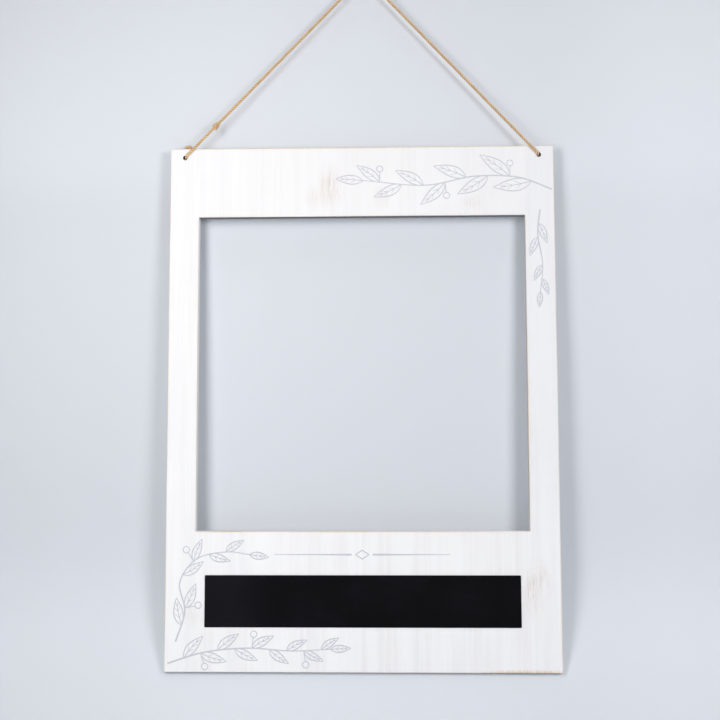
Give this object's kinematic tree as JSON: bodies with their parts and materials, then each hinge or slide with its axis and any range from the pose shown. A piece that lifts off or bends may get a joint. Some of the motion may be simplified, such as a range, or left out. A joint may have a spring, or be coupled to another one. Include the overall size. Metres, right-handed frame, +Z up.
{
  "type": "hanging photo booth frame",
  "caption": "Flat upright wooden board with a large open window for posing behind, a black writing panel below it, and a twine hanger tied through holes in the top corners.",
  "frame": {"origin": "where a hook bears on the underside of the twine's bight, in the twine's own upright plane", "axes": "+X to the viewer's right along the board's width, +Y from the front face towards the wall behind, +Z up; the front faces -Y"},
  "size_m": [0.448, 0.0207, 0.807],
  "materials": {
    "whitewashed_wood": "matt white wash brushed on with the grain, arrises sanded back to bare wood",
    "chalkboard": "matt black writing surface with a faint chalk haze",
    "jute_twine": "natural laid jute, hairy"
  },
  "bodies": {
    "hanger": {"twine_short_length": "jute_twine", "twine_long_length": "jute_twine", "joining_knot": "jute_twine"},
    "board": {"left_stile": "whitewashed_wood", "right_stile": "whitewashed_wood", "top_stave_1": "whitewashed_wood", "top_stave_2": "whitewashed_wood", "top_stave_3": "whitewashed_wood", "top_stave_4": "whitewashed_wood", "top_stave_5": "whitewashed_wood", "top_stave_6": "whitewashed_wood", "bottom_stave_1": "whitewashed_wood", "bottom_stave_2": "whitewashed_wood", "bottom_stave_3": "whitewashed_wood", "bottom_stave_4": "whitewashed_wood", "bottom_stave_5": "whitewashed_wood", "bottom_stave_6": "whitewashed_wood", "writing_panel": "chalkboard", "left_hole_strand": "jute_twine", "right_hole_strand": "jute_twine", "left_rear_knot": "jute_twine", "right_rear_knot": "jute_twine"}
  },
  "joints": [
    {"name": "board_swing", "type": "hinge", "parent": "hanger", "child": "board", "pos_m": [-0.004, 0, -0.213], "axis": [-1, 0, 0], "range_deg": [0, 90]}
  ]
}
